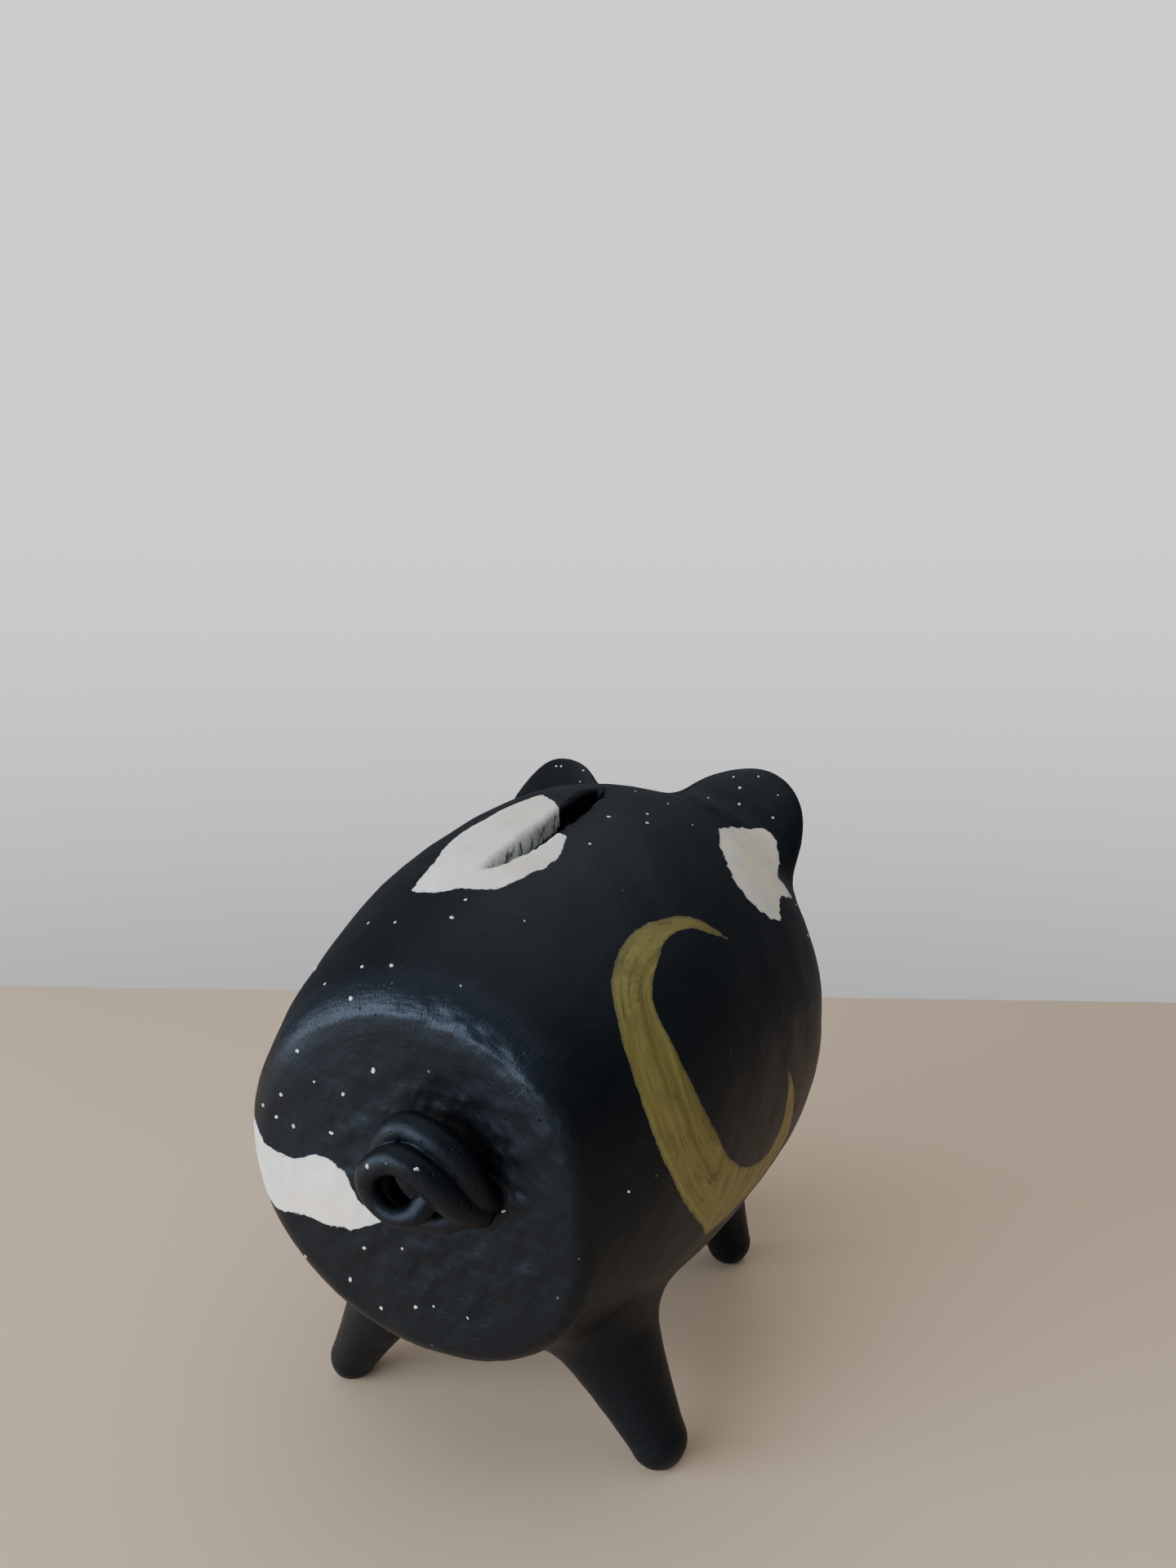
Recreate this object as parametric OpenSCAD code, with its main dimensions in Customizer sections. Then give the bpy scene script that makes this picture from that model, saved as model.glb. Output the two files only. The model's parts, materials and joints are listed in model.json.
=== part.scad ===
// Hand-built clay piggy bank: a thrown hollow barrel closed by a flat slab at the rear, with luted
// legs, ears, snout, eye pellets and coiled tail, a coin slot in the back and a rubber belly stopper.
// Frame: origin at the centre of the footprint on the table, +Y towards the snout, +Z up.
// "Body axes" below means the barrel's own axes: y runs forward from the rear face along the barrel,
// and the barrel leans nose-up by barrel_lean.

/* [Barrel] */
// Largest diameter of the barrel
body_d = 100; // [90:1:115]
// Distance from the rear face to the fattest section
belly_y = 77; // [70:1:85]
// Distance from the fattest section to the closed front end
nose_l = 61; // [55:1:70]
// Diameter that the barrel narrows to at the rear face
rear_d = 67; // [62:1:72]
// Rounding of the rear edge
edge_r = 5; // [3:0.5:5.5]
// Depth of the shallow dish in the rear face
dish_depth = 1; // [0.4:0.1:1.5]
// Wall thickness of the barrel
wall = 6; // [4.5:0.5:7]
// Height of the barrel's axis at the rear face
axis_h = 61.7; // [60:0.1:66]
// Nose-up lean of the barrel, in degrees
barrel_lean = 4; // [0:0.5:6]

/* [Coin slot] */
// Length of the slot
slot_l = 49; // [40:1:54]
// Width of the slot
slot_w = 5.8; // [5:0.1:7]
// Distance from the rear face to the middle of the slot, along the barrel
slot_y = 57.5; // [52:0.5:64]
// How far the slot's middle sits to the right of the centre line
slot_x = 2.2; // [0:0.1:3]

/* [Legs] */
// Radius of a foot's rounded end
foot_r = 5.5; // [5:0.1:6]
// How fast a leg widens at the foot, in mm of radius per mm of height
leg_taper = 0.13; // [0.08:0.01:0.16]
// How much faster it widens towards the barrel, per mm squared
leg_flare = 0.0052; // [0.004:0.0002:0.006]
// Sideways distance of the rear feet from the centre line
rear_foot_x = 33; // [30:0.5:36]
// Distance of the rear feet from the rear face
rear_foot_y = 29.5; // [28:0.5:33]
// Sideways distance of the front feet from the centre line
front_foot_x = 25.5; // [24:0.5:29]
// Distance of the front feet from the rear face
front_foot_y = 101.5; // [98:0.5:104]

/* [Ears] */
// Half the width of an ear
ear_half_w = 17.1; // [15:0.1:19]
// Half the thickness of an ear
ear_half_t = 4.6; // [4:0.1:5.5]
// Half the length of an ear's full ellipsoid, whose root lies in the barrel
ear_half_l = 28.8; // [26:0.1:31]

/* [Snout] */
// Radius of the snout at its root
snout_r = 15; // [13:0.5:17]
// How far the snout reaches past the barrel's closed front end
snout_l = 13; // [10:0.5:16]
// Thickness of the slab that closes the snout
snout_plate_t = 5; // [4:0.5:6]
// Radius of a nostril
nostril_r = 2.6; // [2:0.1:3]
// Wall thickness of the snout
snout_wall = 7.2; // [7.2:0.1:8]

/* [Belly stopper] */
// Diameter of the round hole in the belly
stopper_hole_d = 25; // [20:1:26]
// Diameter of the stopper's flange
flange_d = 30; // [28:1:31]
// Thickness of the stopper's flange
flange_t = 2.5; // [2:0.1:3]

/* [Hidden] */
$fn = 96;

body_r = body_d / 2;
rear_r = rear_d / 2;
plate_t = wall;                 // the rear slab is as thick as the wall
body_l = belly_y + nose_l;
snout_end = body_l + snout_l;
tail_reach = 12.0;              // how far the coiled tail stands out behind the rear face
middle_y = (snout_end - tail_reach) / 2 + 0.3;  // half-way between tail and snout, along the table

// The barrel's rear part is one long arc through the rear rim and the fattest section.
rear_drop = body_r - rear_r;
back_arc_r = (belly_y * belly_y + rear_drop * rear_drop) / (2 * rear_drop);
back_arc_x = body_r - back_arc_r;
// Centre of the rim's rounding, tangent to the rear face and to the long arc.
edge_x = back_arc_x + sqrt(pow(back_arc_r - edge_r, 2) - pow(belly_y - edge_r, 2));
edge_end = atan2(edge_r - belly_y, edge_x - back_arc_x);

leg_l = 32;                     // length of a leg from the foot's centre; its top end lies inside the barrel
foot_sink = 0.5;                // how much of a foot's rounded end is flattened on the table
rear_leg_lean = [-10, 0.5, 17.6];  // direction from the right rear foot to the barrel
front_leg_lean = [-5, -3, 17.6];

ear_centre = [20.2, 99.8, 97.8];  // from the rear face, the centre line and the table
ear_turn = [-35, 41, 27];         // about x, y and z: ears lean forwards and outwards

eye_r = 4.2;
eye_y = 126;
eye_angle = 44;                 // from straight up, around the barrel

seat_r = flange_d / 2 + 1;      // flat seat that the stopper's flange sits on
seat_depth = 0.8;               // how far the seat lies below the lowest edge of its recess
seat_z = seat_depth - sqrt(body_r * body_r - seat_r * seat_r);
stopper_y = belly_y - 2;
plug_clearance = 0.1;           // radial gap between the stopper and its hole
plug_l = 7;
grip_l = 15;
grip_w = 3;
grip_h = 2.6;

black = [0.11, 0.115, 0.125];

function barrel_r(y, inset = 0) =
    y < belly_y
    ? back_arc_x + sqrt(pow(back_arc_r - inset, 2) - pow(belly_y - y, 2))
    : (body_r - inset) * sqrt(max(0, 1 - pow((y - belly_y) / (nose_l - inset), 2)));

// Barrel outline from distance y0 to the closed front end, as [radius, distance] points.
function barrel_outline(y0, inset = 0, steps = 14) = concat(
    [for (i = [0 : steps - 1]) let (y = y0 + (belly_y - y0) * i / steps) [barrel_r(y, inset), y]],
    [for (i = [0 : steps]) let (a = 90 * i / steps)
        [(body_r - inset) * cos(a), belly_y + (nose_l - inset) * sin(a)]]
);

function reversed(list) = [for (i = [len(list) - 1 : -1 : 0]) list[i]];

// Moves children from body axes to the frame.
module on_barrel() {
    translate([0, -middle_y, axis_h]) rotate([barrel_lean, 0, 0]) children();
}

// Turns an outline of [radius, distance] points about the barrel's axis.
module turned(points) {
    rotate([-90, 0, 0]) rotate_extrude() polygon(points);
}

// Everything inside the barrel's outer surface, with a plain flat rear.
module barrel_block() {
    on_barrel() turned(concat([[0, 0], [edge_x, 0]], rim_arc(), barrel_outline(plate_t), [[0, body_l]]));
}

function rim_arc(steps = 6) = [
    for (i = [1 : steps]) let (a = -90 + (edge_end + 90) * i / steps)
        [edge_x + edge_r * cos(a), edge_r + edge_r * sin(a)]
];

module mirrored_left() {
    mirror([1, 0, 0]) children();
}

module body_shell() {
    color(black) on_barrel() difference() {
        turned(concat(barrel_outline(plate_t), reversed(barrel_outline(plate_t, wall))));
        slot_cut();
        belly_hole_cut();
    }
}

module slot_cut() {
    half = (slot_l - slot_w) / 2;
    translate([slot_x, slot_y, 0]) {
        translate([-slot_w / 2, -half, 0]) cube([slot_w, 2 * half, body_r + 10]);
        for (end = [-half, half]) translate([0, end, 0]) cylinder(d = slot_w, h = body_r + 10);
    }
}

module belly_hole_cut() {
    translate([0, stopper_y, seat_z - 10]) {
        cylinder(r = seat_r, h = 10);
        cylinder(d = stopper_hole_d, h = 30);
    }
}

module rear_plate() {
    dish_r = edge_x - 3;
    face = [[0, dish_depth], [dish_r - 6, dish_depth], [dish_r, dish_depth * 0.3], [edge_x, 0]];
    color(black) on_barrel() turned(concat(face, rim_arc(), [[barrel_r(plate_t), plate_t], [0, plate_t]]));
}

module snout_tube() {
    tube_end = snout_end - snout_plate_t;
    inner_r = snout_r - snout_wall;
    color(black) difference() {
        on_barrel() turned([
            [inner_r, belly_y + nose_l / 2], [snout_r + 1, belly_y + nose_l / 2],
            [snout_r, body_l - 1], [snout_r + 0.6, tube_end - 2], [snout_r + 1.2, tube_end],
            [inner_r, tube_end]
        ]);
        barrel_block();
    }
}

module snout_plate() {
    plate_r = snout_r + 1.8;
    round_r = 1.8;
    start = snout_end - snout_plate_t;
    corner = [for (i = [0 : 5]) let (a = 18 * i)
        [plate_r - round_r + round_r * cos(a), snout_end - round_r + round_r * sin(a)]];
    color(black) on_barrel() difference() {
        turned(concat([[0, start], [plate_r - 0.6, start], [plate_r, start + 0.6]], corner, [[0, snout_end]]));
        for (side = [-1, 1]) translate([side * 5.6, start - 1, 0.5]) rotate([-90, 0, 0])
            cylinder(r = nostril_r, h = snout_plate_t + 2);
    }
}

module ear_right() {
    color(black) difference() {
        translate(ear_centre - [0, middle_y, 0])
            rotate([0, 0, ear_turn[2]]) rotate([ear_turn[0], 0, 0]) rotate([0, ear_turn[1], 0])
            scale([ear_half_w, ear_half_t, ear_half_l]) sphere(r = 1, $fn = 40);
        barrel_block();
    }
}

module eye_right() {
    r = barrel_r(eye_y);
    color([0.86, 0.84, 0.78]) difference() {
        on_barrel() translate([r * sin(eye_angle), eye_y, r * cos(eye_angle)]) sphere(r = eye_r, $fn = 48);
        barrel_block();
    }
}

// A leg about its own axis: a rounded foot, then a stalk that spreads towards the barrel.
module leg_blank(steps = 8) {
    foot = [for (i = [0 : 9]) let (a = -90 + 9 * i) [foot_r * cos(a), foot_r * sin(a)]];
    stalk = [for (i = [0 : steps]) let (h = leg_l * i / steps) [foot_r + leg_taper * h + leg_flare * h * h, h]];
    rotate_extrude() polygon(concat(foot, stalk, [[0, leg_l]]));
}

// lean is the direction from the foot up to the barrel, for a right-hand leg.
module leg_right(foot_x, foot_y, lean) {
    table_cut = 200;
    color(black) difference() {
        translate([foot_x, foot_y - middle_y, foot_r - foot_sink])
            rotate([0, acos(lean[2] / norm(lean)), atan2(lean[1], lean[0])]) leg_blank();
        barrel_block();
        translate([-table_cut / 2, -table_cut / 2, -table_cut]) cube(table_cut);
    }
}

module leg_rear_right() {
    leg_right(rear_foot_x, rear_foot_y, rear_leg_lean);
}

module leg_front_right() {
    leg_right(front_foot_x, front_foot_y, front_leg_lean);
}

// The tail rises from its root, leans over to the left and coils into a ring in front of itself. Each
// list pairs the turn, in degrees anticlockwise from the right as seen from behind, with one measure there.
coil_start = -40;
coil_end = 560;
coil_centre = [4, 4.5];
coil_r = [[-40, 8.6], [-30, 7.2], [-15, 5.7], [0, 4.9], [15, 4.7], [30, 4.9], [45, 5.4], [60, 6.1], [75, 6.8],
          [90, 7.2], [105, 7.4], [120, 7.3], [150, 6.8], [180, 6.3], [250, 5.6], [400, 5.4], [560, 5.3]];
coil_y = [[-40, 1.5], [-10, -1.3], [15, -2.1], [45, -2.7], [95, -3.5], [130, -4], [180, -4.7], [250, -6.3],
          [320, -7.7], [400, -8.8], [480, -9.3], [560, -9.5]];
rope_r = [[-40, 4.2], [-10, 3.5], [15, 3.3], [70, 3.1], [130, 2.9], [180, 2.6], [320, 2.4], [450, 2.3],
          [500, 2.2], [540, 1.9], [552, 1.6], [560, 0.9]];

function coil_corner(a) = [
    coil_centre[0] + lookup(a, coil_r) * cos(a),
    lookup(a, coil_y),
    coil_centre[1] + lookup(a, coil_r) * sin(a)
];

// The same line with its corners eased.
function coil_point(a) = (coil_corner(a - 10) + 2 * coil_corner(a) + coil_corner(a + 10)) / 4;

function unit(v) = v / norm(v);

// Rings of a tube along the coil, each square to the path at its point.
function coil_rings(steps, sides) = [
    for (i = [0 : steps])
        let (
            a = coil_start + (coil_end - coil_start) * i / steps,
            along = unit(coil_point(a + 8) - coil_point(a - 8)),
            across = unit(cross(along, [0, 1, 0])),
            up = cross(across, along)
        )
        [for (k = [0 : sides - 1])
            coil_point(a) + lookup(a, rope_r) * (across * cos(360 * k / sides) + up * sin(360 * k / sides))]
];

// A closed tube through rings of points, with flat ends.
module tube(rings) {
    sides = len(rings[0]);
    last = len(rings) - 1;
    function corner(i, k) = i * sides + k % sides;
    walls = [for (i = [0 : last - 1], k = [0 : sides - 1], half = [0, 1])
        half == 0 ? [corner(i, k), corner(i, k + 1), corner(i + 1, k + 1)]
                  : [corner(i, k), corner(i + 1, k + 1), corner(i + 1, k)]];
    ends = [[for (k = [sides - 1 : -1 : 0]) corner(0, k)], [for (k = [0 : sides - 1]) corner(last, k)]];
    polyhedron(points = [for (ring = rings, p = ring) p], faces = concat(walls, ends), convexity = 6);
}

module tail_coil() {
    color(black) difference() {
        on_barrel() tube(coil_rings(60, 10));
        barrel_block();
    }
}

module belly_stopper() {
    plug_r = stopper_hole_d / 2 - plug_clearance;
    color([0.07, 0.07, 0.075]) on_barrel() translate([0, stopper_y, seat_z]) {
        translate([0, 0, -flange_t]) cylinder(d = flange_d, h = flange_t);
        cylinder(r = plug_r, h = plug_l - 2);
        translate([0, 0, plug_l - 2]) cylinder(r1 = plug_r, r2 = plug_r - 1, h = 2);
        translate([-grip_l / 2, -grip_w / 2, -flange_t - grip_h]) cube([grip_l, grip_w, grip_h + 1]);
    }
}

body_shell();
rear_plate();
snout_tube();
snout_plate();
mirrored_left() ear_right();  // ear_left
ear_right();
mirrored_left() eye_right();  // eye_left
eye_right();
mirrored_left() leg_rear_right();  // leg_rear_left
leg_rear_right();
mirrored_left() leg_front_right();  // leg_front_left
leg_front_right();
tail_coil();
belly_stopper();
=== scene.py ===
"""Looks of the hand-built clay piggy bank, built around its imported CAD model.

Every clay piece is a closed mesh of its own, taken from one shared field of signed distances in which
legs, ears, snout and tail melt into the barrel as luted clay does. Lengths in the fields are
millimetres; meshes are made in metres. "Barrel axes" are the barrel's own: x to the pig's right,
y forward from the rear face, z up from the barrel's axis.
"""
import json
import math

import bpy
import numpy as np
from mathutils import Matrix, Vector


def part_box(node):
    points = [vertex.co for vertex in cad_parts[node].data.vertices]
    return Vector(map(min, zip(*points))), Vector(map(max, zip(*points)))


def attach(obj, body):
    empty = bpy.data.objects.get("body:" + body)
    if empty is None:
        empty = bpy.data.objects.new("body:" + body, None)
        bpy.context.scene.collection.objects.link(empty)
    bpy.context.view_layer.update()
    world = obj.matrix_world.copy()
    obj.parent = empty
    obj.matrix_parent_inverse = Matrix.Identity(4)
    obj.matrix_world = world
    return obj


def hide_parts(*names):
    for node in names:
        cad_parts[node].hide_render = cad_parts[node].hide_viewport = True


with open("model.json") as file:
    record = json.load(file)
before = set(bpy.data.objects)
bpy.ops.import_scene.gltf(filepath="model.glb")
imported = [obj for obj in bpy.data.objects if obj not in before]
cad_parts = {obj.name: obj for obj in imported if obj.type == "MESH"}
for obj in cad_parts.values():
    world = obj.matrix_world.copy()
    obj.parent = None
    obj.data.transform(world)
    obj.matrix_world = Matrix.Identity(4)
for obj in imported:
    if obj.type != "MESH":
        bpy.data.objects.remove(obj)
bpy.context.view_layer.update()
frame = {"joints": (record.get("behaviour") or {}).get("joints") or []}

MM = 0.001
FAR = 99.0  # mm: a surface too far off to matter
rng = np.random.default_rng(7)

# ---------------------------------------------------------------- driving dimensions, as in the CAD
BODY_R = 50.0   # radius of the barrel's fattest section
BELLY_Y = 77.0  # from the rear face to that section
NOSE_L = 61.0   # from there to the barrel's closed front end
BODY_L = BELLY_Y + NOSE_L
REAR_R = 33.5   # radius that the barrel narrows to at the rear face
WALL = 6.0
PLATE_T = 6.0   # thickness of the slab that closes the rear
AXIS_H = 61.7   # height of the barrel's axis at the rear face
LEAN = math.asin(frame["joints"][0]["axis"][1])
SNOUT_R = 15.0
SNOUT_END = BODY_L + 13.0
SNOUT_PLATE_T = 5.0
SNOUT_JOINT_Y = SNOUT_END - SNOUT_PLATE_T
TAIL_REACH = 12.0
MIDDLE_Y = (SNOUT_END - TAIL_REACH) / 2 + 0.3  # half-way from tail to snout along the table
STOPPER_Y = BELLY_Y - 2.0
SEAT_R = 16.0   # radius of the recess in the belly that takes the stopper's flange
SEAT_Z = 0.8 - math.sqrt(BODY_R ** 2 - SEAT_R ** 2)
HOLE_R = 12.5

# The barrel's rear part is one long arc through the rear rim and the fattest section.
DROP = BODY_R - REAR_R
ARC_R = (BELLY_Y ** 2 + DROP ** 2) / (2 * DROP)
ARC_X = BODY_R - ARC_R


# ---------------------------------------------------------------- field tools
def unit(v):
    v = np.asarray(v, float)
    return v / np.linalg.norm(v)


def smooth_min(a, b, k):
    h = np.maximum(k - np.abs(a - b), 0) / k
    return np.minimum(a, b) - h * h * k / 4


def smooth_max(a, b, k):
    return -smooth_min(-a, -b, k)


def round_max(a, b, r):
    """Intersection whose outer edge is a fillet of radius r."""
    outside = np.hypot(np.maximum(a + r, 0), np.maximum(b + r, 0))
    return np.minimum(np.maximum(a, b), -r) + outside


def ramp(x, low, high):
    """0 at low, 1 at high, eased at both ends. low may be the greater."""
    t = np.clip((x - low) / (high - low), 0, 1)
    return t * t * (3 - 2 * t)


def waves(seed, size, count=14):
    """A smooth random field of about unit height whose bumps are about size across."""
    r = np.random.default_rng(seed)
    k = r.normal(size=(count, 3))
    k *= (r.uniform(0.7, 1.4, count) * 2 * math.pi / size / np.linalg.norm(k, axis=1))[:, None]
    phase = r.uniform(0, 2 * math.pi, count)
    return lambda p: np.sin(p @ k.T + phase).sum(-1) * math.sqrt(2 / count)


def spline(run, per=7):
    """A smooth line through a run of points, with per steps from each point to the next."""
    pts = np.array(run, float)
    q = np.concatenate([2 * pts[:1] - pts[1:2], pts, 2 * pts[-1:] - pts[-2:-1]])
    line = []
    for i in range(1, len(q) - 2):
        for t in np.arange(per) / per:
            line.append(0.5 * (2 * q[i] + (q[i + 1] - q[i - 1]) * t
                               + (2 * q[i - 1] - 5 * q[i] + 4 * q[i + 1] - q[i + 2]) * t ** 2
                               + (3 * q[i] - q[i - 1] - 3 * q[i + 1] + q[i + 2]) * t ** 3))
    return np.array(line)


swell, lump, dimple, smear = waves(11, 44), waves(12, 15), waves(13, 5.5), waves(14, 2.6)
LEAN_COS, LEAN_SIN = math.cos(LEAN), math.sin(LEAN)


def to_barrel(p):
    """Points in barrel axes."""
    y, z = p[:, 1] + MIDDLE_Y, p[:, 2] - AXIS_H
    return np.stack([p[:, 0], y * LEAN_COS + z * LEAN_SIN, z * LEAN_COS - y * LEAN_SIN], -1)


def from_barrel(b):
    b = np.atleast_2d(np.asarray(b, float))
    y = b[:, 1] * LEAN_COS - b[:, 2] * LEAN_SIN - MIDDLE_Y
    z = b[:, 1] * LEAN_SIN + b[:, 2] * LEAN_COS + AXIS_H
    return np.stack([b[:, 0], y, z], -1)


# ---------------------------------------------------------------- barrel
def barrel_r(y):
    y = np.asarray(y, float)
    back = ARC_X + np.sqrt(ARC_R ** 2 - (BELLY_Y - y) ** 2)
    front = BODY_R * np.sqrt(np.maximum(0, 1 - ((y - BELLY_Y) / NOSE_L) ** 2))
    return np.where(y < BELLY_Y, back, front)


def open_barrel(b):
    """The barrel as if it ran on past its rear face."""
    rad, along = np.hypot(b[:, 0], b[:, 2]), b[:, 1] - BELLY_Y
    back = np.hypot(rad - ARC_X, along) - ARC_R
    k0 = np.hypot(rad / BODY_R, along / NOSE_L)
    k1 = np.maximum(np.hypot(rad / BODY_R ** 2, along / NOSE_L ** 2), 1e-6)
    return np.where(along < 0, back, k0 * (k0 - 1) / k1)


# Round the rear face, by degrees from the top towards the pig's right: how far out the face reaches, and
# the radius of the rounded rim outside it.
RIM_ANGLE = [-180, -135, -90, -47, -30, -10, 15, 35, 50, 65, 90, 105, 130, 150, 180]
FACE_R = [30.0, 29.5, 30.5, 30.0, 28.5, 28.0, 27.5, 28.5, 29.0, 29.5, 29.0, 30.0, 32.5, 32.0, 30.0]
RIM_R = [2.5, 3.0, 3.5, 3.5, 5.0, 5.5, 5.5, 4.5, 3.0, 2.0, 2.0, 2.0, 2.0, 2.0, 2.5]
RIM_EASE = 11       # degrees each way that a change round the rim is spread over
RIM_SPREAD = 0.65   # share of the rim's radius that lies outside the face
TURN_IN = (-2, 16)  # where the wall turns in to meet the rim, from the rear face
FACE_STEP, TOP_STEP = 0.35, 0.45  # how far the face lies below the rim, and how much more along the top
CREASE, CREASE_W = 0.25, 0.45  # depth and width of the groove between face and rim
CREASE_END = 5.0    # the groove is only in the rear face, so nothing past this takes it


def around(angle, values):
    """A measure of the rim read at each angle."""
    ring = np.interp(np.arange(-180, 180), RIM_ANGLE, values)
    ease = np.hanning(2 * RIM_EASE + 1)
    ring = np.concatenate([ring[-RIM_EASE:], ring, ring[:RIM_EASE + 1]])
    return np.interp(angle, np.arange(-180, 181), np.convolve(ring, ease / ease.sum(), "valid"))


def barrel(b):
    """The closed barrel. Its wall turns in a little at the rear face, which lies a step below the
    rounded rim along the top."""
    rad, angle = np.hypot(b[:, 0], b[:, 2]), np.degrees(np.arctan2(b[:, 0], b[:, 2]))
    face, rim = around(angle, FACE_R), around(angle, RIM_R)
    upper = ramp(np.cos(np.radians(angle - 3)), 0.55, 0.8)
    step = FACE_STEP + TOP_STEP * upper * (1 - ramp(rad, face - 1.0, face + 0.1))
    wall = open_barrel(b) + (REAR_R - face - RIM_SPREAD * rim) * (1 - ramp(b[:, 1], *TURN_IN))
    crease = CREASE * upper * np.exp(-((rad - face) / CREASE_W) ** 2)
    return round_max(wall, step - b[:, 1], rim) + np.where(b[:, 1] < CREASE_END, crease, 0)


# ---------------------------------------------------------------- legs, ears, snout, tail and eyes
LEG_L = 32.0                         # from the middle of the foot's rounded end, into the barrel
LEG_TAPER, LEG_FLARE = 0.13, 0.0036  # how fast a leg widens, per mm and per mm squared
LEG_SLOPE = 0.97                     # from the distance across a leg to that square to its side
FOOT_SINK = 0.5                      # how much of the rounded end is flat on the table


def leg(p, foot, lean, foot_r):
    base = np.array([foot[0], foot[1] - MIDDLE_Y, foot_r - FOOT_SINK])
    axis = unit(lean)
    q = p - base
    h = q @ axis
    rad = np.linalg.norm(q - h[:, None] * axis, axis=1)
    up = np.clip(h, 0, LEG_L)
    side = (rad - (foot_r + LEG_TAPER * up + LEG_FLARE * up ** 2)) * LEG_SLOPE
    d = np.where(h < 0, np.linalg.norm(q, axis=1) - foot_r, side)
    return smooth_max(np.maximum(d, h - LEG_L), -p[:, 2], 0.8)


# The right ear's own axes: across it, through it towards the snout, and along it.
EAR_W = unit((0.844, 0.007, -0.537))
EAR_T = unit((-0.38, 0.72, -0.58))
EAR_L = unit((0.388, 0.684, 0.618))
EAR_HALF = np.array([17.1, 4.55, 28.8])
EAR_CENTRE = np.array([20.2, 99.8 - MIDDLE_Y, 97.8])
SCOOP_R = 26.0                  # the ball that hollows an ear's front
SCOOP_T, SCOOP_UP = 1.9, 9.5    # how near the ear's middle plane it comes, and how far along the ear


def ear_axes(p, side):
    """Points in an ear's own axes; side is 1 for the right ear and -1 for the left."""
    q = p * [side, 1, 1] - EAR_CENTRE
    return np.stack([q @ EAR_W, q @ EAR_T, q @ EAR_L], -1)


def ear(p, side):
    q = ear_axes(p, side)
    k0 = np.linalg.norm(q / EAR_HALF, axis=1)
    k1 = np.maximum(np.linalg.norm(q / EAR_HALF ** 2, axis=1), 1e-6)
    shell = k0 * (k0 - 1) / k1
    hollow = SCOOP_R - np.linalg.norm(q - [0, SCOOP_R + SCOOP_T, SCOOP_UP], axis=1)
    return smooth_max(shell, hollow, 3.0)


SNOUT_FLARE, SNOUT_FLARE_L = 1.0, 7.0  # how much the tube widens to meet the disc, and over what length
DISC_R = SNOUT_R + 1.8
DISC_EDGE = 1.9
NOSTRIL_X, NOSTRIL_Z, NOSTRIL_R = 5.6, 0.5, 2.6
SNOUT_BORE_R = 7.8


def snout(b):
    rad, y = np.hypot(b[:, 0], b[:, 2]), b[:, 1]
    flare = SNOUT_FLARE * ramp(y, SNOUT_JOINT_Y - SNOUT_FLARE_L, SNOUT_JOINT_Y)
    tube = np.maximum(rad - (SNOUT_R + flare), y - SNOUT_JOINT_Y - 0.5)
    half = SNOUT_PLATE_T / 2
    out = np.maximum(rad - (DISC_R - DISC_EDGE), 0)
    through = np.maximum(np.abs(y - SNOUT_JOINT_Y - half) - half + DISC_EDGE, 0)
    return smooth_min(tube, np.hypot(out, through) - DISC_EDGE, 1.6)


def nostrils(b):
    across = np.abs(b[:, 0]) - NOSTRIL_X
    return np.maximum(np.hypot(across, b[:, 2] - NOSTRIL_Z) - NOSTRIL_R, SNOUT_JOINT_Y - 1 - b[:, 1])


# The tail is a curled rope of clay: a back loop that rises from the rear face, and a smaller one before
# it that curls up at its tip. Each point, in barrel axes: right, forward, up, and the rope's radius.
BACK_LOOP = [
    (14.8, 0.5, -0.5, 1.6), (14.5, -1, 0.5, 2.5), (13.5, -3, 3.5, 3.0), (11.5, -4, 8, 3.2),
    (8, -5, 11.5, 3.2), (4, -5, 13, 3.1), (1.5, -5.5, 12.5, 2.8), (-0.8, -5.5, 9.5, 2.6),
    (-2.2, -5.5, 5, 2.6), (-1.8, -5, 1, 2.5), (0.5, -4.5, -2, 2.5), (4, -4.5, -2.8, 2.5),
    (8.5, -4.5, -2.2, 2.5), (11.5, -4, -1, 2.6),
]
FRONT_LOOP = [
    (14, -2.5, -1, 2.5), (13, -4, 0, 2.8), (11.5, -6.5, 2.8, 2.9), (9.2, -8, 6.3, 2.9),
    (6.3, -9, 9, 2.8), (3, -9.5, 10, 2.6), (-0.5, -10, 8, 2.3), (-1.5, -10, 5, 2.1), (0, -10, 2, 2),
    (3, -10, 0.5, 1.9), (6, -9.5, 1, 2), (7.5, -8.5, 2.5, 2.3), (8.5, -7.5, 4.5, 2.2),
]
ROPE = np.concatenate([spline(BACK_LOOP, per=14), spline(FRONT_LOOP, per=14)])
BATCH = 20000  # points measured against the whole rope at a time


def rope(b):
    """A chain of balls close enough to read as a rope."""
    out = np.full(len(b), FAR)
    for start in range(0, len(b), BATCH):
        q = b[start:start + BATCH]
        gap = np.linalg.norm(q[:, None] - ROPE[None, :, :3], axis=2) - ROPE[:, 3]
        out[start:start + BATCH] = gap.min(1)
    return out


EYE_Y, EYE_R = 126.0, 4.2
EYE_ANGLE = math.radians(44)  # from straight up, round the barrel
BARREL_R_AT_EYE = float(barrel_r(EYE_Y))


def eye_place(side, out=0.0, ahead=0.0, up=0.0):
    """An eye's centre, or a place out, ahead and up from it."""
    x, z = BARREL_R_AT_EYE * math.sin(EYE_ANGLE), BARREL_R_AT_EYE * math.cos(EYE_ANGLE)
    return [side * (x + out), EYE_Y + ahead, z + up]


def eye(b, side):
    return np.linalg.norm(b - eye_place(side), axis=1) - EYE_R


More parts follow.
